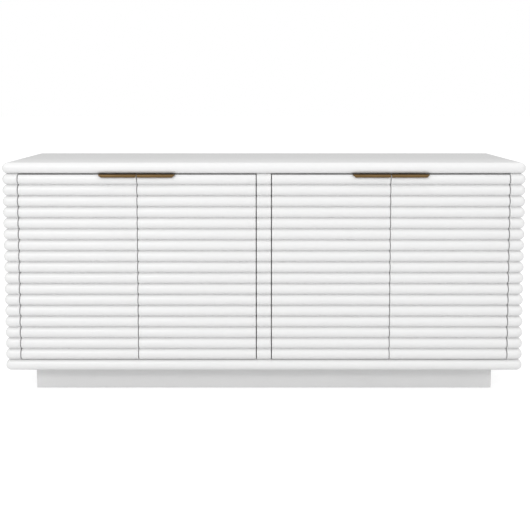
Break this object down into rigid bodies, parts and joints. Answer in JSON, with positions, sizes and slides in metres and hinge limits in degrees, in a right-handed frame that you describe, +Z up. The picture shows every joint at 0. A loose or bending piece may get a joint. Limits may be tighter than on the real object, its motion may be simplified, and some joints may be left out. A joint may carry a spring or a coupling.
{
  "type": "tv stand",
  "caption": "Low media cabinet with horizontal half-round reeding, bullnosed top and bottom panels, inset hinged doors with brass edge pulls, and a recessed plinth.",
  "frame": {"origin": "on the floor, midway across the width and the depth of the carcass", "axes": "+Z up, +X towards the right end seen from the front, the doors face -Y"},
  "size_m": [1.6, 0.4065, 0.728],
  "materials": {
    "white_lacquer": "white satin-gloss lacquer on fibreboard",
    "interior_board": "white melamine-faced board, fine satin texture",
    "back_board": "white painted hardboard, matt",
    "raw_timber": "unfinished softwood",
    "brass": "brushed antique brass",
    "zinc_steel": "nickel and zinc plated steel",
    "magnet": "dark ferrite magnet with a steel pole face",
    "white_plastic": "moulded white plastic",
    "dark_plastic": "moulded dark grey nylon"
  },
  "bodies": {
    "carcass": {"top_panel": "white_lacquer", "bottom_panel": "white_lacquer", "side_panel_left": "white_lacquer", "side_panel_right": "white_lacquer", "end_stile_left": "white_lacquer", "end_stile_right": "white_lacquer", "centre_stile": "white_lacquer", "gable_left": "interior_board", "gable_right": "interior_board", "partition_left": "interior_board", "partition_right": "interior_board", "back_panel_left": "back_board", "back_panel_right": "back_board", "grommet_left": "dark_plastic", "grommet_right": "dark_plastic", "shelf_left": "interior_board", "shelf_right": "interior_board", "shelf_pins": "zinc_steel", "plinth_front": "white_lacquer", "plinth_back": "white_lacquer", "plinth_left": "white_lacquer", "plinth_right": "white_lacquer", "plinth_rail": "white_lacquer", "plinth_blocks": "raw_timber", "levelling_glides": "dark_plastic", "plinth_screws": "zinc_steel", "hinge_plates": "zinc_steel", "hinge_arms": "zinc_steel", "hinge_plate_screws": "zinc_steel", "catch_left": "white_plastic", "catch_right": "white_plastic", "catch_magnets": "magnet", "back_screws": "zinc_steel", "dowels": "raw_timber", "carcass_screws": "zinc_steel", "top_brackets": "zinc_steel", "bracket_screws": "zinc_steel"},
    "door_1_leaf": {"door_1": "white_lacquer", "pull_1": "brass", "hinge_cups_1": "zinc_steel", "strike_plate_1": "zinc_steel", "door_screws_1": "zinc_steel"},
    "door_2_leaf": {"door_2": "white_lacquer", "pull_2": "brass", "hinge_cups_2": "zinc_steel", "strike_plate_2": "zinc_steel", "door_screws_2": "zinc_steel"},
    "door_3_leaf": {"door_3": "white_lacquer", "pull_3": "brass", "hinge_cups_3": "zinc_steel", "strike_plate_3": "zinc_steel", "door_screws_3": "zinc_steel"},
    "door_4_leaf": {"door_4": "white_lacquer", "pull_4": "brass", "hinge_cups_4": "zinc_steel", "strike_plate_4": "zinc_steel", "door_screws_4": "zinc_steel"}
  },
  "joints": [
    {"name": "door_1_hinge", "type": "hinge", "parent": "carcass", "child": "door_1_leaf", "pos_m": [-0.75075, -0.2, 0.405], "axis": [0, 0, -1], "range_deg": [0, 105]},
    {"name": "door_2_hinge", "type": "hinge", "parent": "carcass", "child": "door_2_leaf", "pos_m": [-0.02325, -0.2, 0.405], "axis": [0, 0, 1], "range_deg": [0, 90]},
    {"name": "door_3_hinge", "type": "hinge", "parent": "carcass", "child": "door_3_leaf", "pos_m": [0.02325, -0.2, 0.405], "axis": [0, 0, -1], "range_deg": [0, 90]},
    {"name": "door_4_hinge", "type": "hinge", "parent": "carcass", "child": "door_4_leaf", "pos_m": [0.75075, -0.2, 0.405], "axis": [0, 0, 1], "range_deg": [0, 105]}
  ]
}
